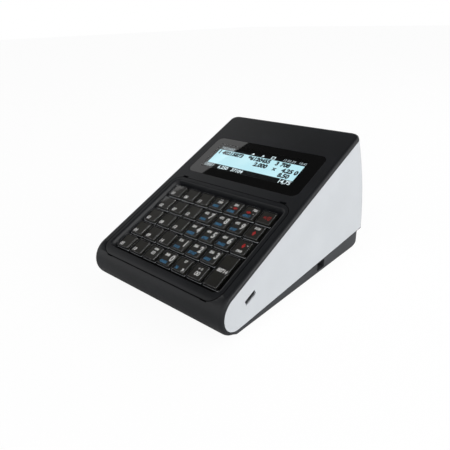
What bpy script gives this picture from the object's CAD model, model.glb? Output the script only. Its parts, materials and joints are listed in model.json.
import json
import math

import bpy
from mathutils import Matrix, Vector


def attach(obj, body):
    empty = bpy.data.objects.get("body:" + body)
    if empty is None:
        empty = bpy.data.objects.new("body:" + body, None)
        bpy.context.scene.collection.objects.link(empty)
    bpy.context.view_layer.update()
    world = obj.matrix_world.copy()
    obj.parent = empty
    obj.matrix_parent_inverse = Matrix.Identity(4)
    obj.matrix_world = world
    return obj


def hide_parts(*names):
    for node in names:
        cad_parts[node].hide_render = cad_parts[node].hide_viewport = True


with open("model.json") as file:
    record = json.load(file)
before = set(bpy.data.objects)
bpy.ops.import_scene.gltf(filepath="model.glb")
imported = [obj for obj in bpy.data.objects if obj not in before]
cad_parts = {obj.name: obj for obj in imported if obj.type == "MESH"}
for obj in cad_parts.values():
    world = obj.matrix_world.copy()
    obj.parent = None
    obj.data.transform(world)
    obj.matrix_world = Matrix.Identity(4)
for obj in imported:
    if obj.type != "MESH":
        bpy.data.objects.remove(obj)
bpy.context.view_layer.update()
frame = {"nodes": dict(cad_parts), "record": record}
bodyOf = {node: body for body, nodes in frame["record"]["behaviour"]["bodies"].items() for node in nodes}
mm = 0.001
print("frame loaded:", len(frame["nodes"]), "nodes")

# sizes are in millimetres and angles in degrees, except the studio's
# the operator face has x across, s up the slope and n out of it, from the centre of the nose
face = {"slope": 23.4, "noseY": -101.8, "noseZ": 25.0, "shell": 20.2}
rear = {"radius": 300.0, "centreY": -177.587, "centreZ": 6.0}
slopeCosine = math.cos(math.radians(face["slope"]))
slopeSine = math.sin(math.radians(face["slope"]))


def onFace(x, s, n):
    nose = Matrix.Translation((0, face["noseY"] * mm, face["noseZ"] * mm))
    slope = Matrix.Rotation(math.radians(face["slope"]), 4, "X")
    return nose @ slope @ Matrix.Translation((x * mm, s * mm, n * mm))


def onRear(x, z, out):
    # on the bowed rear wall: local x runs to the viewer's right, local y up, local z out of the wall
    tilt = math.asin((z - rear["centreZ"]) / rear["radius"])
    reach = rear["radius"] + out
    place = Matrix.Translation((x * mm, (rear["centreY"] + reach * math.cos(tilt)) * mm,
                                (rear["centreZ"] + reach * math.sin(tilt)) * mm))
    return place @ Matrix.Rotation(math.pi, 4, "Z") @ Matrix.Rotation(math.pi / 2 - tilt, 4, "X")


# selecting and shaping

def objectMode():
    bpy.ops.object.mode_set(mode="OBJECT")


def deselectAll():
    if bpy.context.mode != "OBJECT":
        objectMode()
    bpy.ops.object.select_all(action="DESELECT")


def newest():
    return bpy.context.view_layer.objects.active


def take(piece):
    deselectAll()
    piece.select_set(True)
    bpy.context.view_layer.objects.active = piece


def editAll(piece):
    take(piece)
    bpy.ops.object.mode_set(mode="EDIT")
    bpy.ops.mesh.select_all(action="SELECT")


def pickFaces(piece, test):
    # opens edit mode with the faces selected whose centre and normal pass the test
    take(piece)
    mesh = piece.data
    for item in list(mesh.vertices) + list(mesh.edges):
        item.select = False
    for polygon in mesh.polygons:
        polygon.select = bool(test(polygon.center, polygon.normal))
    bpy.context.tool_settings.mesh_select_mode = (False, False, True)
    bpy.ops.object.mode_set(mode="EDIT")


def pickEdges(piece, test):
    # the same for edges, whose two ends go to the test
    take(piece)
    mesh = piece.data
    for item in list(mesh.vertices) + list(mesh.polygons):
        item.select = False
    for edge in mesh.edges:
        a, b = (mesh.vertices[i].co for i in edge.vertices)
        edge.select = bool(test(a, b))
    bpy.context.tool_settings.mesh_select_mode = (False, True, False)
    bpy.ops.object.mode_set(mode="EDIT")


def applyModifier(piece, kind, **settings):
    take(piece)
    modifier = piece.modifiers.new(kind.lower(), kind)
    for name, value in settings.items():
        setattr(modifier, name, value)
    bpy.ops.object.modifier_apply(modifier=modifier.name)


def settle(piece, matrix=None):
    # puts the place into the mesh and leaves the object at the origin
    if matrix is not None:
        piece.matrix_world = matrix @ piece.matrix_world
    take(piece)
    bpy.ops.object.transform_apply(location=True, rotation=True, scale=True)


def softNormals(piece, angle):
    take(piece)
    bpy.ops.object.shade_smooth_by_angle(angle=math.radians(angle))
    applyModifier(piece, "WEIGHTED_NORMAL", keep_sharp=True, weight=70)


def mergeClose(piece, gap=0.004):
    # closes hairline gaps and joins the triangles of flat faces
    editAll(piece)
    bpy.ops.mesh.remove_doubles(threshold=gap * mm)
    bpy.ops.mesh.dissolve_degenerate(threshold=gap * mm)
    bpy.ops.mesh.dissolve_limited(angle_limit=math.radians(0.3), delimit={"NORMAL"})
    objectMode()


def nameIt(piece, name):
    piece.name = name
    piece.data.name = name
    return piece


def joinAll(pieces, name):
    take(pieces[0])
    for piece in pieces[1:]:
        piece.select_set(True)
    if len(pieces) > 1:
        bpy.ops.object.join()
    return nameIt(newest(), name)


def ownCopy(piece, name):
    other = piece.copy()
    other.data = piece.data.copy()
    bpy.context.scene.collection.objects.link(other)
    return nameIt(other, name)


def paint(piece, index, test):
    # gives another of the piece's finishes to the faces that pass the test, which works in millimetres
    for polygon in piece.data.polygons:
        if test(polygon.center * 1000, polygon.normal):
            polygon.material_index = index


# nodes of materials and of the world

class Wire:
    # a socket that adds Math nodes when it stands in an expression
    def __init__(self, owner, socket):
        self.owner = owner
        self.socket = socket

    def maths(self, operation, *others):
        values = dict(enumerate((self,) + others))
        return self.owner.node("ShaderNodeMath", {"operation": operation}, values)

    def __add__(self, other):
        return self.maths("ADD", other)

    def __sub__(self, other):
        return self.maths("SUBTRACT", other)

    def __rsub__(self, other):
        return self.owner.node("ShaderNodeMath", {"operation": "SUBTRACT"}, {0: other, 1: self})

    def __mul__(self, other):
        return self.maths("MULTIPLY", other)

    def __truediv__(self, other):
        return self.maths("DIVIDE", other)

    def __pow__(self, other):
        return self.maths("POWER", other)

    def __gt__(self, other):
        return self.maths("GREATER_THAN", other)

    def __lt__(self, other):
        return self.maths("LESS_THAN", other)

    __radd__ = __add__
    __rmul__ = __mul__

    def absolute(self):
        return self.maths("ABSOLUTE")

    def most(self, other):
        return self.maths("MAXIMUM", other)

    def least(self, other):
        return self.maths("MINIMUM", other)

    def remainder(self, other):
        return self.maths("FLOORED_MODULO", other)

    def ramp(self, low, high, start=0.0, end=1.0):
        # start below low and end above high, with soft ends
        values = {"Value": self, "From Min": low, "From Max": high, "To Min": start, "To Max": end}
        return self.owner.node("ShaderNodeMapRange", {"interpolation_type": "SMOOTHSTEP"}, values)


class Nodes:
    # the nodes of a material or world
    def __init__(self, holder):
        holder.use_nodes = True
        self.holder = holder
        self.tree = holder.node_tree
        self.tree.nodes.clear()

    def node(self, kind, settings=None, inputs=None, output=0):
        made = self.tree.nodes.new(kind)
        for name, value in (settings or {}).items():
            setattr(made, name, value)
        for name, value in (inputs or {}).items():
            if isinstance(value, Wire):
                self.tree.links.new(value.socket, made.inputs[name])
            else:
                made.inputs[name].default_value = value
        return Wire(self, made.outputs[output]) if len(made.outputs) else None

    def split(self, vector):
        parts = self.node("ShaderNodeSeparateXYZ", {}, {0: vector})
        return [Wire(self, output) for output in parts.socket.node.outputs]


class Finish(Nodes):
    # a procedural material on a piece's own coordinates
    socketOf = {"base": "Base Color", "metallic": "Metallic", "rough": "Roughness", "normal": "Normal",
                "specular": "Specular IOR Level", "coat": "Coat Weight", "glow": "Emission Color",
                "power": "Emission Strength"}

    def __init__(self, name):
        super().__init__(bpy.data.materials.new(name))
        self.place = self.node("ShaderNodeTexCoord", output="Object")

    def slopeAxes(self):
        # across, up the slope and out of it, in metres from the centre of the nose
        x, y, z = self.split(self.place)
        y = y - face["noseY"] * mm
        z = z - face["noseZ"] * mm
        return x, y * slopeCosine + z * slopeSine, z * slopeCosine - y * slopeSine

    def noise(self, scale, detail=3.0, roughness=0.5, stretch=None):
        where = self.place
        if stretch:
            where = self.node("ShaderNodeMapping", {}, {"Vector": where, "Scale": stretch})
        return self.node("ShaderNodeTexNoise", {},
                         {"Vector": where, "Scale": scale, "Detail": detail, "Roughness": roughness})

    def blend(self, factor, a, b):
        return self.node("ShaderNodeMix", {"data_type": "RGBA"}, {0: factor, 6: a, 7: b}, 2)

    def mix(self, factor, a, b):
        return self.node("ShaderNodeMixShader", {}, {0: factor, 1: a, 2: b})

    def bump(self, height, depth, strength=1.0):
        return self.node("ShaderNodeBump", {},
                         {"Height": height, "Distance": depth * mm, "Strength": strength})

    def surface(self, **sockets):
        return self.node("ShaderNodeBsdfPrincipled", {}, {self.socketOf[k]: v for k, v in sockets.items()})

    def clear(self, tint):
        return self.node("ShaderNodeBsdfTransparent", {}, {"Color": tint})

    def glossed(self, under, roughness):
        # a clear acrylic's gloss, on the outward side alone, over what lies under it
        gloss = self.node("ShaderNodeBsdfGlossy", {}, {"Color": (1, 1, 1, 1), "Roughness": roughness})
        facing = self.node("ShaderNodeFresnel", {}, {"IOR": 1.49})
        back = self.node("ShaderNodeNewGeometry", output="Backfacing")
        return self.mix(facing * (1 - back), under, gloss)

    def done(self, shader):
        self.node("ShaderNodeOutputMaterial", {"target": "ALL"}, {"Surface": shader})
        return self.holder


def tone(code):
    # a written colour, such as 2e2e30, as the shader's own numbers
    parts = [int(code[i:i + 2], 16) / 255 for i in (0, 2, 4)]
    return tuple(c / 12.92 if c <= 0.04045 else ((c + 0.055) / 1.055) ** 2.4 for c in parts) + (1.0,)


# finishes

# the key panel's rounded outline on the slope, its lip, and the joint round it
pad = {
    "middle": 47.85, "width": 150.0, "length": 116.7, "corner": 13.0,
    "ridge": 1.4, "ridgeFrom": 3.0, "ridgeTo": 9.5, "wellLow": 5.0, "wellTop": 15.5,
    "joint": 0.68, "jointInside": 0.1, "jointAbove": 13.0,
}
window = {"x": -2.4, "s": 148.8, "width": 113.4, "length": 39.6}  # the clear field in the smoked plate
roll = {"y": 74.69, "z": 62.0, "turn": 0.35}


def jointMask(f):
    # 1 along the joint round the key panel, where no light gets in
    x, s, height = f.slopeAxes()
    across = x.absolute() - (pad["width"] / 2 - pad["corner"]) * mm
    along = (s - pad["middle"] * mm).absolute() - (pad["length"] / 2 - pad["corner"]) * mm
    a = across.most(0.0)
    b = along.most(0.0)
    outline = (a * a + b * b) ** 0.5 + across.most(along).least(0.0) - pad["corner"] * mm
    onLine = (outline + pad["jointInside"] * mm).absolute() < pad["joint"] / 2 * mm
    return onLine * (height > pad["jointAbove"] * mm)


def mouldedFinish(name, dark, light, rough=0.45, grain=0.45, depth=0.02, specular=0.5, joint=False):
    # moulded plastic: spark-eroded grain, cloudy tone and a few rubbed patches
    f = Finish(name)
    cloud = f.noise(26.0, 4.0, 0.55)
    fine = f.noise(0.35 / (grain * mm), 2.0, 0.6)
    rub = f.noise(90.0, 5.0, 0.65).ramp(0.52, 0.7)
    colour = f.blend(cloud.ramp(0.3, 0.7), tone(dark), tone(light))
    roughness = (cloud * 0.08 + fine * 0.06 - rub * 0.05) + (rough - 0.06)
    shell = f.surface(base=colour, rough=roughness, specular=specular, normal=f.bump(fine, depth, 0.9))
    if joint:
        black = f.blend(cloud, tone("050506"), tone("0a0a0b"))
        shade = f.surface(base=black, rough=cloud * 0.1 + 0.75, specular=0.05)
        shell = f.mix(jointMask(f), shell, shade)
    return f.done(shell)


def metalFinish(name, dark, light, rough, stretch):
    # drawn or rolled metal with fine lines along one way
    f = Finish(name)
    lines = f.noise(700.0, 3.0, 0.6, stretch)
    cloud = f.noise(60.0, 4.0, 0.6)
    colour = f.blend((lines * 0.6 + cloud * 0.4).ramp(0.35, 0.65), tone(dark), tone(light))
    return f.done(f.surface(base=colour, metallic=1.0, rough=lines * 0.16 + cloud * 0.1 + (rough - 0.1),
                            normal=f.bump(lines, 0.012, 0.8)))


def inkFinish(name, dark, light, rough=0.5):
    # screen-printed ink, a little uneven
    f = Finish(name)
    cover = f.noise(1500.0, 3.0, 0.6)
    return f.done(f.surface(base=f.blend(cover.ramp(0.3, 0.6), tone(dark), tone(light)),
                            rough=cover * 0.2 + (rough - 0.1), normal=f.bump(cover, 0.01)))


def glowFinish(name, low, high, power, dot=0.45, line=0.05):
    # a lit liquid-crystal field with the fine lines between its dots
    f = Finish(name)
    x, y, z = f.split(f.place)
    along = y * slopeCosine + z * slopeSine
    lines = ((x * 1000).remainder(dot) < line).most((along * 1000).remainder(dot) < line)
    wash = f.noise(24.0, 2.0, 0.5).ramp(0.3, 0.75)
    colour = f.blend(lines * 0.22, f.blend(wash, tone(low), tone(high)), tone(low))
    return f.done(f.surface(base=(0.02, 0.02, 0.02, 1), rough=wash * 0.1 + 0.3, glow=colour, power=power))


def boardFinish():
    # solder mask over copper runs, with rows of plated pads
    f = Finish("circuitBoard")
    x, y, z = f.split(f.place)
    weave = f.noise(2200.0, 2.0, 0.5)
    runs = f.node("ShaderNodeTexVoronoi", {"feature": "DISTANCE_TO_EDGE", "distance": "CHEBYCHEV"},
                  {"Vector": f.place, "Scale": 260.0}) < 0.05
    padX, padY = (((axis * 1000).remainder(5.08) - 2.54).absolute() < 0.5 for axis in (x, y))
    green = f.blend(weave.ramp(0.3, 0.7), tone("14482d"), tone("1b5a38"))
    green = f.blend(runs, green, tone("2a7a4c"))
    colour = f.blend(padX * padY * 0.8, green, tone("b9a25a"))
    return f.done(f.surface(base=colour, rough=0.34 + weave * 0.12, specular=0.5, coat=0.3,
                            normal=f.bump(runs, 0.02, 0.7)))


def paperFinish():
    # a wound roll: fibres on the outside, close turns on the two ends
    f = Finish("ticketPaper")
    x, y, z = f.split(f.place)
    fibre = f.noise(900.0, 5.0, 0.7)
    y = y - roll["y"] * mm
    z = z - roll["z"] * mm
    turns = ((y * y + z * z) ** 0.5 * 1000 / roll["turn"]).maths("SINE").ramp(-0.4, 0.9)
    colour = f.blend(fibre.ramp(0.3, 0.7), tone("e6e3da"), tone("f4f2ec"))
    colour = f.blend(turns * 0.2, colour, tone("b9b5aa"))
    return f.done(f.surface(base=colour, rough=0.75 + fibre * 0.15, specular=0.3,
                            normal=f.bump(turns + fibre * 0.5, 0.02)))


def filmFinish(name, tint, rough=0.03, haze=0.0, carried=0.0):
    # clear plastic that shows what is under it; a hazy cut edge gives off a little of the light
    # that the plastic has carried to it
    f = Finish(name)
    film = f.clear(tint)
    if haze:
        edge = f.surface(base=tone("d9dce0"), rough=0.2, specular=0.5, glow=tone("e4e8ec"), power=carried)
        film = f.mix(haze, film, edge)
    marks = f.noise(400.0, 4.0, 0.6).ramp(0.4, 0.8)
    return f.done(f.glossed(film, marks * 0.05 + rough))


def windowFinish():
    # a smoked plate printed black behind, left clear over the display's field
    f = Finish("smokedWindow")
    x, s, height = f.slopeAxes()
    across = (x - window["x"] * mm).absolute() < window["width"] / 2 * mm
    along = (s - window["s"] * mm).absolute() < window["length"] / 2 * mm
    smears = f.noise(70.0, 5.0, 0.6).ramp(0.45, 0.8)
    printed = f.surface(base=f.blend(smears, tone("070707"), tone("0c0c0c")), rough=0.5, specular=0.0)
    under = f.mix(across * along, printed, f.clear((0.93, 0.95, 0.96, 1)))
    return f.done(f.glossed(under, smears * 0.03 + 0.02))


finishes = {
    "charcoal": mouldedFinish("charcoalPlastic", "131518", "181a1e", 0.43, 0.5, 0.022, 0.4, joint=True),
    "bezel": mouldedFinish("bezelPlastic", "121417", "17191d", 0.4, 0.5, 0.02, 0.33, joint=True),
    "keyWell": mouldedFinish("keyWellPlastic", "090a0b", "0d0e0f", 0.7, 0.5, 0.03, 0.12),
    "slate": mouldedFinish("basePlastic", "343639", "3d3f43", 0.5, 0.6, 0.028),
    "white": mouldedFinish("sidePanelPlastic", "d6dade", "dadee2", 0.36, 1.1, 0.008),
    "grey": mouldedFinish("latchPlastic", "3c3e41", "4b4d50", 0.5),
    "frame": mouldedFinish("printerFramePlastic", "2c2e31", "393b3f", 0.55, 0.7, 0.03),
    "gear": mouldedFinish("gearPlastic", "ddd8c9", "ece8dc", 0.38, 0.9, 0.008),
    "rubber": mouldedFinish("rubberGrip", "131314", "1c1c1d", 0.78, 0.4, 0.04, 0.25),
    "mat": mouldedFinish("keyMatSilicone", "44474a", "54575a", 0.62, 0.6, 0.01, 0.35),
    "keyCore": mouldedFinish("keyCorePlastic", "1f1e1a", "26251f", 0.4, 0.6, 0.008),
    "socket": mouldedFinish("socketPlastic", "1a1a1c", "252528", 0.5, 0.6, 0.02),
    "sleeve": mouldedFinish("capacitorSleeve", "1b2a4a", "24365c", 0.35),
    "tongue": mouldedFinish("portTongue", "8e9092", "a4a6a8", 0.45),
    "lcdGlass": mouldedFinish("displayGlass", "050607", "090a0b", 0.35, specular=0.2),
    "steel": metalFinish("rolledSteel", "8d9093", "b9bcbf", 0.34, (1, 14, 1)),
    "port": metalFinish("portShell", "a3a6a9", "cfd1d3", 0.28, (1, 10, 10)),
    "motor": metalFinish("motorCan", "7d8184", "a9adb0", 0.36, (12, 1, 1)),
    "aluminium": metalFinish("headAluminium", "9da1a5", "c3c6c9", 0.42, (16, 1, 1)),
    "brass": metalFinish("pinionBrass", "a8853c", "cfae62", 0.3, (12, 1, 1)),
    "screw": metalFinish("screwSteel", "5d6063", "8a8d90", 0.38, (1, 1, 10)),
    "whiteInk": inkFinish("legendWhite", "eeeeec", "fbfbfa"),
    "blueInk": inkFinish("legendBlue", "2b6890", "3b83b0"),
    "redInk": inkFinish("legendRed", "b51f1f", "d6302c"),
    "darkInk": inkFinish("displayDark", "10181d", "1a252b", 0.4),
    "lit": glowFinish("displayLit", "c3eef6", "d6f8fd", 1.1),
    "litDigit": glowFinish("displayDigit", "dceef2", "f4fcfd", 1.15),
    "dimDigit": glowFinish("displaySmall", "c8d6da", "dde7ea", 0.95),
    "guestDigit": glowFinish("guestDigit", "46d9c1", "7ff2de", 1.6),
    "board": boardFinish(),
    "paper": paperFinish(),
    "window": windowFinish(),
    "guestGlass": filmFinish("guestGlass", (0.5, 0.51, 0.53, 1)),
    "cap": filmFinish("keyCapClear", (0.98, 0.98, 0.98, 1)),
    "capEdge": filmFinish("keyCapEdge", (0.9, 0.9, 0.9, 1), 0.3, haze=0.13),
    "capFront": filmFinish("keyCapFront", (0.9, 0.9, 0.9, 1), 0.2, haze=0.9, carried=0.3),
}
print("finishes made:", len(finishes))


# CAD nodes, softened

def faceHeight(point):
    # how far out of the slope a place in millimetres lies
    return (point.z - face["noseZ"]) * slopeCosine - (point.y - face["noseY"]) * slopeSine


def faceRise(point):
    # how far up the slope it lies
    return (point.y - face["noseY"]) * slopeCosine + (point.z - face["noseZ"]) * slopeSine


def padDepth(point):
    # how far inside the key panel's rounded outline it lies
    x = abs(point.x) - pad["width"] / 2 + pad["corner"]
    s = abs(faceRise(point) - pad["middle"]) - pad["length"] / 2 + pad["corner"]
    if x > 0 and s > 0:
        return pad["corner"] - math.hypot(x, s)
    return pad["corner"] - max(x, s)


def onRidge(end):
    # on the lip round the sunken keys
    end = end * 1000
    return faceHeight(end) > face["shell"] - 0.06 and pad["ridgeFrom"] < padDepth(end) < pad["ridgeTo"]


def roundRidge(piece):
    pickEdges(piece, lambda a, b: onRidge(a) and onRidge(b))
    bpy.ops.mesh.bevel(offset=pad["ridge"] * mm, segments=4, affect="EDGES", clamp_overlap=False)
    objectMode()


# finishes, the first one all over, then the material slot and the broken edges' width
nodeLooks = {
    "top_cover": (["charcoal"], "charcoal_plastic", 0),
    "keypad_bezel": (["bezel", "keyWell"], "bezel_plastic", 0),
    "side_panel_left": (["white"], "white_plastic", 0.25),
    "side_panel_right": (["white"], "white_plastic", 0.25),
    "base_tray": (["slate"], "grey_plastic", 0.35),
    "rear_cover": (["charcoal"], "charcoal_plastic", 0.2),
    "paper_door": (["charcoal"], "charcoal_plastic", 0.2),
    "door_latch": (["grey"], "grey_plastic", 0.3),
    "display_window": (["window"], "smoked_window", 0.15),
    "customer_window": (["guestGlass"], "smoked_window", 0.15),
    "printer_frame": (["frame"], "frame_plastic", 0.15),
    "feed_motor": (["motor"], "motor_steel", 0.2),
    "print_head": (["aluminium"], "head_aluminium", 0.15),
    "paper_roll": (["paper"], "ticket_paper", 0.2),
    "rubber_feet": (["rubber"], "foot_rubber", 0.15),
    "key_mat": (["mat"], "key_rubber", 0.1),
    "keyboard_board": (["board"], "circuit_board", 0),
    "screws": (["screw"], "screw_steel", 0.15),
    "platen_gear": (["gear"], "gear_plastic", 0),
    "idler_gear": (["gear"], "gear_plastic", 0),
    "motor_pinion": (["brass"], "gear_brass", 0),
    "platen_roller": (["rubber", "steel"], "platen_rubber", 0.15),
    "lcd_module": (["board", "steel", "lcdGlass"], "display_metal", 0.1),
    "customer_display": (["steel"], "display_metal", 0.1),
    "usb_port": (["port", "tongue"], "port_steel", 0.05),
    "main_board": (["board", "socket", "steel", "sleeve"], "circuit_board", 0.1),
}


def dressNode(node, names, slot, width):
    # a softened copy of a CAD node, with its flat triangles merged and its edges broken
    first, *others = node.split("_")
    piece = ownCopy(frame["nodes"][node], first + "".join(word.capitalize() for word in others))
    piece.parent = None
    for key in list(piece.keys()):
        del piece[key]
    piece.matrix_world = Matrix.Identity(4)
    mergeClose(piece)
    if node == "keypad_bezel":
        roundRidge(piece)
    if width:
        applyModifier(piece, "BEVEL", width=width * mm, segments=2, limit_method="ANGLE",
                      angle_limit=math.radians(30), use_clamp_overlap=True, miter_outer="MITER_ARC")
        mergeClose(piece)
    piece.data.materials.clear()
    for name in names:
        piece.data.materials.append(finishes[name])
    softNormals(piece, 35)
    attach(piece, bodyOf[node])
    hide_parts(node)
    return piece


dressed = {node: dressNode(node, *looks) for node, looks in nodeLooks.items()}
print("CAD nodes dressed:", len(dressed))

platen = {"y": 101.69, "z": 88.0, "shaft": 2.3, "rubberEnd": 29.0}
lcd = {"tinFrom": 11.9, "glassFrom": 16.15}
tongue = {"xFrom": 74, "xTo": 81.2, "s": 17.5, "halfWidth": 5.7, "halfThick": 0.95}
# what stands on the main board: capacitors at the right front, a coin cell at the left
boardTop = {"z": 23.6, "sleeveTop": 33.4, "capacitorX": 42, "capacitorY": 72, "cellX": -45.5, "socketY": 95}


def isShaft(c, n):
    fromAxis = math.hypot(c.y - platen["y"], c.z - platen["z"])
    return fromAxis < platen["shaft"] or abs(c.x) > platen["rubberEnd"]


def isTongue(c, n):
    across = abs(faceRise(c) - tongue["s"]) < tongue["halfWidth"]
    return across and tongue["xFrom"] < c.x < tongue["xTo"] and abs(faceHeight(c)) < tongue["halfThick"]


def isTin(c, n):
    # the coin cell and the tops of the two capacitors
    capacitorTop = c.x > boardTop["capacitorX"] and c.z > boardTop["sleeveTop"]
    return c.z > boardTop["z"] and c.y < boardTop["socketY"] and (c.x < boardTop["cellX"] or capacitorTop)


def isSleeve(c, n):
    inHeight = boardTop["z"] < c.z < boardTop["sleeveTop"]
    return inHeight and c.y < boardTop["capacitorY"] and c.x > boardTop["capacitorX"]


paint(dressed["platen_roller"], 1, isShaft)
paint(dressed["keypad_bezel"], 1,
      lambda c, n: padDepth(c) > pad["ridgeTo"] and pad["wellLow"] < faceHeight(c) < pad["wellTop"])
paint(dressed["lcd_module"], 1, lambda c, n: faceHeight(c) > lcd["tinFrom"])
paint(dressed["lcd_module"], 2, lambda c, n: faceHeight(c) > lcd["glassFrom"])
paint(dressed["usb_port"], 1, isTongue)
paint(dressed["main_board"], 1, lambda c, n: c.z > boardTop["z"])
paint(dressed["main_board"], 2, isTin)
paint(dressed["main_board"], 3, isSleeve)
print("CAD nodes painted")


# keys

keys = {"pitchX": 19.0, "pitchS": 19.2, "middleS": 48.7, "top": 18.4, "width": 14.7, "length": 15.2}
# flares are how far the foot stands out past the top
cap = {
    "wallHeight": 3.15, "foot": 0.45, "flareSide": 1.1, "flareFront": 0.3, "flareBack": 1.6,
    "corner": 0.9, "edge": 0.36, "wall": 0.9, "rim": 0.405,
    "hollow": 2.8, "hollowForward": 0.5, "hollowTaperX": 0.93, "hollowTaperS": 0.95, "taperMiddle": 0.1,
    "rolledFrom": 0.02, "rolledTo": 0.6,
}
core = {
    "smaller": 1.3, "wallHeight": 2.4, "foot": 0, "flareSide": 0.6, "flareFront": 0.15, "flareBack": 0.9,
    "corner": 0.6, "edge": 0.2, "under": 0.95, "stem": 3.0, "stemFrom": 2, "stemTo": 11.0,
    "tipWidth": 0.4, "tipHeight": 0.25,
}


def keyForm(name, width, length, form):
    # its top at z 0: a plane drawn down to a wider foot, with rounded corners and edges
    deselectAll()
    bpy.ops.mesh.primitive_plane_add(size=1)
    piece = nameIt(newest(), name)
    front, back, height = form["flareFront"], form["flareBack"], form["wallHeight"]
    shift = (back - front) / 2 * mm
    wider = (width + 2 * form["flareSide"]) / width
    longer = (length + front + back) / length
    editAll(piece)
    bpy.ops.transform.resize(value=(width * mm, length * mm, 1), center_override=(0, 0, 0))
    bpy.ops.mesh.extrude_region_move(TRANSFORM_OT_translate={"value": (0, shift, -height * mm)})
    bpy.ops.transform.resize(value=(wider, longer, 1), center_override=(0, shift, -height * mm))
    if form["foot"]:
        bpy.ops.mesh.extrude_region_move(TRANSFORM_OT_translate={"value": (0, 0, -form["foot"] * mm)})
    bpy.ops.mesh.select_all(action="SELECT")
    bpy.ops.mesh.normals_make_consistent(inside=False)
    objectMode()
    pickEdges(piece, lambda a, b: abs(a.z - b.z) > 0.01 * mm)
    bpy.ops.mesh.bevel(offset=form["corner"] * mm, segments=3, affect="EDGES")
    objectMode()
    pickEdges(piece, lambda a, b: a.z > -0.05 * mm and b.z > -0.05 * mm)
    bpy.ops.mesh.bevel(offset=form["edge"] * mm, segments=2, affect="EDGES")
    objectMode()
    return piece


def capPiece(name, length):
    # the clear cap: a thin-walled shell, with brighter rolled edges and foot
    piece = keyForm(name, keys["width"], length, cap)
    pickFaces(piece, lambda c, n: n.z < -0.9)
    bpy.ops.mesh.inset(thickness=cap["rim"] * mm, depth=0)
    drawn = (0, -cap["hollowForward"] * mm, cap["hollow"] * mm)
    bpy.ops.mesh.extrude_region_move(TRANSFORM_OT_translate={"value": drawn})
    bpy.ops.transform.resize(value=(cap["hollowTaperX"], cap["hollowTaperS"], 1),
                             center_override=(0, cap["taperMiddle"] * mm, 0))
    objectMode()
    for finish in ("cap", "capEdge", "capFront"):
        piece.data.materials.append(finishes[finish])
    paint(piece, 1, lambda c, n: cap["rolledFrom"] < -c.z < cap["rolledTo"] and 0.2 < n.z < 0.97)
    paint(piece, 1, lambda c, n: -c.z > cap["wallHeight"] and abs(n.z) < 0.5)
    paint(piece, 2, lambda c, n: -c.z > cap["wallHeight"] and abs(n.z) < 0.5 and n.y < -0.25)
    softNormals(piece, 50)
    return piece


def corePiece(name, length):
    # the dark body under the cap, on its round stem
    body = keyForm("body", keys["width"] - core["smaller"], length - core["smaller"], core)
    body.location.z = -core["under"] * mm
    settle(body)
    deselectAll()
    bpy.ops.mesh.primitive_cylinder_add(vertices=32, radius=core["stem"] * mm,
                                        depth=(core["stemTo"] - core["stemFrom"]) * mm,
                                        location=(0, 0, -(core["stemTo"] + core["stemFrom"]) / 2 * mm))
    stem = newest()
    settle(stem)
    pickFaces(stem, lambda c, n: n.z < -0.9)
    bpy.ops.mesh.inset(thickness=core["tipWidth"] * mm, depth=0)
    bpy.ops.transform.translate(value=(0, 0, -core["tipHeight"] * mm))
    objectMode()
    piece = joinAll([body, stem], name)
    piece.data.materials.append(finishes["keyCore"])
    softNormals(piece, 40)
    return piece


# print, laid flat and then given the thickness of ink

def inked(piece, ink):
    settle(piece)
    piece.data.materials.clear()
    piece.data.materials.append(finishes[ink])
    return piece


def flatText(body, size, x, y, ink, align="LEFT", weight=0.0, lean=0.0, squeeze=1.0):
    # figures in Blender's own face
    deselectAll()
    bpy.ops.object.text_add()
    piece = newest()
    piece.data.body = body
    piece.data.size = size * mm
    piece.data.offset = weight * size * mm
    piece.data.shear = lean
    piece.data.align_x = align
    piece.data.align_y = "CENTER"
    piece.data.resolution_u = 3
    bpy.ops.object.convert(target="MESH")
    piece.scale.x = squeeze
    piece.location = (x * mm, y * mm, 0)
    return inked(piece, ink)


def flatBar(width, height, x, y, ink):
    deselectAll()
    bpy.ops.mesh.primitive_plane_add(size=1, location=(x * mm, y * mm, 0))
    piece = newest()
    piece.scale = (width * mm, height * mm, 1)
    return inked(piece, ink)


def flatArrow(size, turn, x, y, ink):
    deselectAll()
    bpy.ops.mesh.primitive_circle_add(vertices=3, radius=size * mm, fill_type="NGON",
                                      location=(x * mm, y * mm, 0), rotation=(0, 0, math.radians(turn)))
    return inked(newest(), ink)


def tailedArrow(size, turn, x, y, ink):
    # an arrow whose head points along turn, with a short tail behind it
    aheadX, aheadY = -math.sin(math.radians(turn)), math.cos(math.radians(turn))
    wide, high = (1.1, 0.8) if abs(aheadX) > 0.5 else (0.8, 1.1)
    tail = flatBar(size * wide, size * high, x - aheadX * size * 0.9, y - aheadY * size * 0.9, ink)
    return [flatArrow(size, turn, x, y, ink), tail]


def printLayer(marks, height):
    # the marks as one thin layer of ink, its middle at this height
    layer = joinAll(marks, "print")
    mergeClose(layer)
    applyModifier(layer, "SOLIDIFY", thickness=0.024 * mm, offset=0.0)
    layer.location.z = height * mm
    settle(layer)
    return layer


# marks of the keys, in millimetres from the middle of a key's top

def smallPrint(figures, size, x, y, ink="whiteInk", align="LEFT"):
    # a short number, where the real key has small print
    return [flatText(figures, size, x, y, ink, align, 0.06, 0.08, 0.86)]


def whiteBars(*bars):
    return [flatBar(*bar, "whiteInk") for bar in bars]


def listMarks():
    # a small list in a frame
    lines = whiteBars((3.0, 0.7, 0, 1.2), (3.0, 0.7, 0, -0.2), (3.0, 0.7, 0, -1.6))
    sides = whiteBars((0.7, 3.5, -1.6, -0.2), (0.7, 3.5, 1.6, -0.2))
    return smallPrint("4308", 3.0, 0.0, 4.4, align="CENTER") + lines + sides


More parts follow.
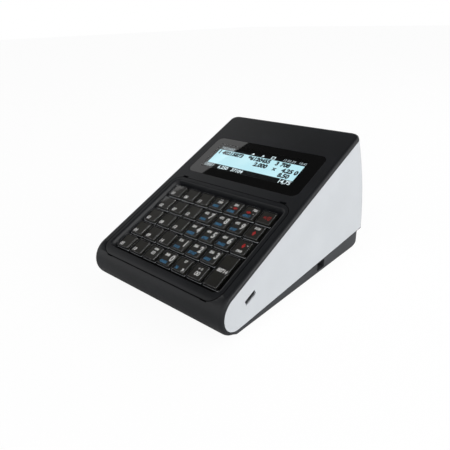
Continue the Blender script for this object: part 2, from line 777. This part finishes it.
def commaMarks():
    return ([flatText(",", 12, 4.0, -0.6, "whiteInk", "CENTER", 0.03)]
            + smallPrint("27", 3.4, -1.0, 4.4) + smallPrint("36", 4.0, -5.4, -3.9, "blueInk"))


def noughtMarks():
    return [flatText("+", 4.2, -1.5, 3.4, "whiteInk", "CENTER", 0.015),
            flatText("0", 3.6, 1.4, 3.6, "whiteInk", "CENTER", 0.015),
            flatText("00", 6.4, 0.2, -1.8, "whiteInk", "CENTER", 0.03, 0.05, 0.85)]


def dotMarks():
    return (whiteBars((0.9, 0.9, -0.9, 5.4), (0.9, 0.9, 0.9, 5.4))
            + smallPrint("390", 4.0, 0.2, 1.9, align="CENTER")
            + smallPrint("8024", 4.0, -5.0, -3.6, "blueInk"))


def leftMarks():
    return (smallPrint("254", 3.8, 0.0, 4.2, align="CENTER") + tailedArrow(2.1, 90, 0.6, 0.2, "redInk")
            + whiteBars((1.7, 0.5, -3.6, 0.2)) + smallPrint("61205", 3.8, -5.2, -4.5, "blueInk"))


def rightMarks():
    return (smallPrint("706", 3.8, 0.6, 4.4) + tailedArrow(2.1, -90, -0.8, 0.2, "redInk")
            + whiteBars((1.2, 0.6, 4.2, -0.4)) + smallPrint("43917", 3.8, -5.2, -4.5, "blueInk"))


def clearMarks():
    return [flatText("×/0", 6.8, 0.2, -0.2, "redInk", "CENTER", 0.0, 0.1, 0.86)]


def upMarks():
    return smallPrint("5128", 3.4, 0.2, 4.7, align="CENTER") + tailedArrow(2.2, 0, 0.2, -0.4, "redInk")


def downMarks():
    return (tailedArrow(2.2, 180, 0.4, 1.2, "redInk") + whiteBars((1.7, 0.6, 4.1, 3.2))
            + smallPrint("2960", 3.4, 0.0, -4.6, align="CENTER"))


specialMarks = {
    (1, 3): listMarks, (1, 5): commaMarks, (1, 6): noughtMarks, (5, 4): dotMarks, (5, 5): leftMarks,
    (5, 6): rightMarks, (5, 7): clearMarks, (4, 7): upMarks, (3, 7): downMarks,
}
digitRows = {4: "789", 3: "456", 2: "123", 1: "0"}  # from the fourth column on


def marksOf(row, column):
    if (row, column) in specialMarks:
        return specialMarks[(row, column)]()
    if column < 4:
        number = 5 * column + 1 - row
        return [flatText(f"{number:02d}", 5.2, -6.0, -4.2, "whiteInk", "LEFT", 0.045, 0.15, 0.85)]
    code = 17 * row + 5 * column
    return ([flatText(digitRows[row][column - 4], 9.8, 3.9, 1.6, "whiteInk", "CENTER", 0.04, 0.1, 0.74)]
            + smallPrint(str(100 + 4 * code), 3.8, -5.6, 3.8)
            + smallPrint(str(21000 + 613 * code)[:4 + code % 2], 4.0, -5.9, -4.2, "blueInk"))


def placeKey(node, capModel, coreModel, marks, x, s):
    # cap, core and print of one key, set on the slope
    place = onFace(x, s, keys["top"])
    clear = ownCopy(capModel, node.replace("key_", "cap_"))
    dark = ownCopy(coreModel, node.replace("key_", "core_"))
    dark = joinAll([dark, printLayer(marks, -cap["wall"] - 0.025)], dark.name)
    for piece in (clear, dark):
        settle(piece, place)
        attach(piece, bodyOf[node])
        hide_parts(node)


singleLength = keys["length"]
doubleLength = singleLength + keys["pitchS"]
single = (capPiece("singleCap", singleLength), corePiece("singleCore", singleLength))
double = (capPiece("doubleCap", doubleLength), corePiece("doubleCore", doubleLength))
for row in range(1, 6):
    for column in range(1, 8):
        if column == 7 and row < 3:
            continue  # the total key fills these two places
        placeKey(f"key_r{row}c{column}", *single, marksOf(row, column),
                 (column - 4) * keys["pitchX"], keys["middleS"] + (row - 3) * keys["pitchS"])
totalMarks = [flatText("80714", 5.0, 0.1, 0.2, "whiteInk", "CENTER", 0.055, 0.08, 0.84)]
placeKey("key_total", *double, totalMarks, 3 * keys["pitchX"], keys["middleS"] - 1.5 * keys["pitchS"])
for model in single + double:
    bpy.data.objects.remove(model)
print("keys placed")


# operator display

screen = {"x": -2.4, "s": 150.6, "n": 17.42, "width": 112.0, "length": 23.2, "thick": 0.3, "edge": 0.08}
weights = {"darkInk": 0.06, "litDigit": 0.025, "dimDigit": 0.0}
# figures, size, place from the lit field's lower left corner
screenTexts = [
    ("1 40215873", 7.8, 1.6, 18.9, "darkInk", "LEFT"),
    ("96120455", 7.8, 43.0, 18.9, "darkInk", "LEFT"),
    ("3", 7.8, 78.5, 18.9, "darkInk", "LEFT"),
    ("708", 7.8, 84.8, 18.9, "darkInk", "LEFT"),
    ("2,000", 8.0, 56.0, 11.3, "darkInk", "LEFT"),
    ("x", 7.2, 82.0, 10.9, "darkInk", "CENTER"),
    ("4,25 0", 8.0, 109.3, 11.3, "darkInk", "RIGHT"),
    ("8,50", 8.0, 103.5, 3.9, "darkInk", "RIGHT"),
    ("7403682", 5.8, 0.2, 26.0, "dimDigit", "LEFT"),
    ("0881", 7.4, -1.2, -3.4, "dimDigit", "LEFT"),
    ("6,250", 6.6, 18.5, -3.9, "litDigit", "LEFT"),
    ("37104", 6.6, 36.5, -3.9, "litDigit", "LEFT"),
    ("14,75", 7.2, 110.5, -3.9, "litDigit", "RIGHT"),
    ("10:45", 4.6, 111.2, 26.2, "dimDigit", "RIGHT"),
    ("12 03 20", 4.6, 98.0, 26.2, "dimDigit", "RIGHT"),
]
signs = {"arrow": 2.1, "arrowV": 25.9, "arrowU": (45.0, 58.0),
         "boxU": 68.4, "boxV": 23.9, "boxWidth": 5.0, "boxHeight": 4.4, "line": 0.9}


def fromCorner(u, v):
    return u - screen["width"] / 2, v - screen["length"] / 2


def screenText(body, size, u, v, ink, align):
    return flatText(body, size, *fromCorner(u, v), ink, align, weights[ink], 0.0, 0.92)


def screenBar(width, height, u, v):
    return flatBar(width, height, *fromCorner(u + width / 2, v + height / 2), "litDigit")


def signBox():
    u, v, wide, high, line = (signs[k] for k in ("boxU", "boxV", "boxWidth", "boxHeight", "line"))
    return [screenBar(wide, line, u, v), screenBar(wide, line, u, v + high - line),
            screenBar(line, high, u, v), screenBar(line, high, u + wide - line, v)]


deselectAll()
bpy.ops.mesh.primitive_cube_add(size=1, location=(0, 0, -screen["thick"] / 2 * mm))
field = newest()
field.scale = (screen["width"] * mm, screen["length"] * mm, screen["thick"] * mm)
settle(field)
applyModifier(field, "BEVEL", width=screen["edge"] * mm, segments=1)
field.data.materials.append(finishes["lit"])
marks = [screenText(*text) for text in screenTexts]
for u in signs["arrowU"]:
    marks.append(flatArrow(signs["arrow"], 0, *fromCorner(u, signs["arrowV"]), "litDigit"))
picture = joinAll([field, printLayer(marks + signBox(), 0.02)], "lcdPicture")
settle(picture, onFace(screen["x"], screen["s"], screen["n"]))
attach(picture, bodyOf["lcd_module"])
print("operator display lit")


# customer display

guest = {"z": 107.5, "in": 2.05, "figures": "8,50", "size": 10.5, "right": 26, "bar": (6.0, 0.9, -30, -3.4)}
guestSum = flatText(guest["figures"], guest["size"], guest["right"], 0, "guestDigit", "RIGHT", 0.015, 0.12)
guestPicture = nameIt(printLayer([guestSum, flatBar(*guest["bar"], "guestDigit")], 0), "guestPicture")
settle(guestPicture, onRear(0, guest["z"], -guest["in"]))
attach(guestPicture, bodyOf["customer_display"])
print("customer display lit")


# floor, light and camera, in metres

world = {"horizon": 1.0, "ceiling": 0.06, "from": 0.50, "to": 0.62}
lamps = {
    "sideSoftbox": {"place": (2.0, 0.5, 0.9), "aim": (0.05, 0, 0.05), "size": (1.4, 1.0), "power": 16.0},
    "keySoftbox": {"place": (0.7, -1.1, 1.5), "aim": (0, 0, 0.05), "size": (1.2, 1.2), "power": 4.5},
    "topSoftbox": {"place": (0.9, 0.9, 1.5), "aim": (0, 0, 0.05), "size": (1.2, 0.8), "power": 4.0},
}
# the card whose reflection lies on the left of the window
card = {"place": (-0.6586, 0.2688, 0.7120), "turn": (43.751, 8.193, -123.339), "size": (0.38, 0.08),
        "power": 0.0925}
eye = {"place": (0.280359, -0.336368, 0.241026), "turn": (65.64645, 1.34467, 41.02369), "lens": 36.904}


def inRadians(turn):
    return [math.radians(angle) for angle in turn]


def paleFloor():
    # white to the camera, pale and matt to everything else
    f = Finish("paleFloor")
    cloud = f.noise(3.0, 3.0, 0.5)
    pale = f.blend(cloud, (0.80, 0.80, 0.80, 1), (0.83, 0.83, 0.83, 1))
    matt = f.surface(base=pale, rough=0.85, specular=0.2)
    white = f.node("ShaderNodeEmission", {}, {"Color": (1, 1, 1, 1), "Strength": 1.06})
    seen = f.node("ShaderNodeLightPath", output="Is Camera Ray")
    return f.done(f.mix(seen * 0.88, matt, white))


def studioWorld():
    # bright at the horizon and dark above, and white to the camera
    sky = Nodes(bpy.data.worlds.new("studio"))
    x, y, z = sky.split(sky.node("ShaderNodeTexCoord", output="Generated"))
    light = z.ramp(world["from"], world["to"], world["horizon"], world["ceiling"])
    seen = sky.node("ShaderNodeLightPath", output="Is Camera Ray")
    glow = sky.node("ShaderNodeBackground", {}, {"Color": (1, 1, 1, 1), "Strength": light.most(seen)})
    sky.node("ShaderNodeOutputWorld", {}, {"Surface": glow})
    bpy.context.scene.world = sky.holder


def softbox(name, lamp):
    deselectAll()
    bpy.ops.object.light_add(type="AREA", location=lamp["place"])
    made = newest()
    made.name = name
    made.data.shape = "RECTANGLE"
    made.data.size, made.data.size_y = lamp["size"]
    made.data.energy = lamp["power"]
    if "aim" in lamp:
        ahead = Vector(lamp["aim"]) - Vector(lamp["place"])
        made.rotation_euler = ahead.to_track_quat("-Z", "Y").to_euler()
    else:
        made.rotation_euler = inRadians(lamp["turn"])
    return made


deselectAll()
bpy.ops.mesh.primitive_plane_add(size=14, location=(0, 2, 0))
floor = newest()
floor.name = "floor"
floor.data.materials.append(paleFloor())
studioWorld()
for name, lamp in lamps.items():
    softbox(name, lamp)
softbox("windowCard", card).visible_diffuse = False

deselectAll()
bpy.ops.object.camera_add(location=eye["place"], rotation=inRadians(eye["turn"]))
camera = newest()
camera.data.sensor_width = 36.0
camera.data.lens = eye["lens"]
camera.data.clip_start = 0.01
bpy.context.scene.camera = camera
bpy.context.scene.view_settings.view_transform = "Standard"
print("stage, lights and camera set")
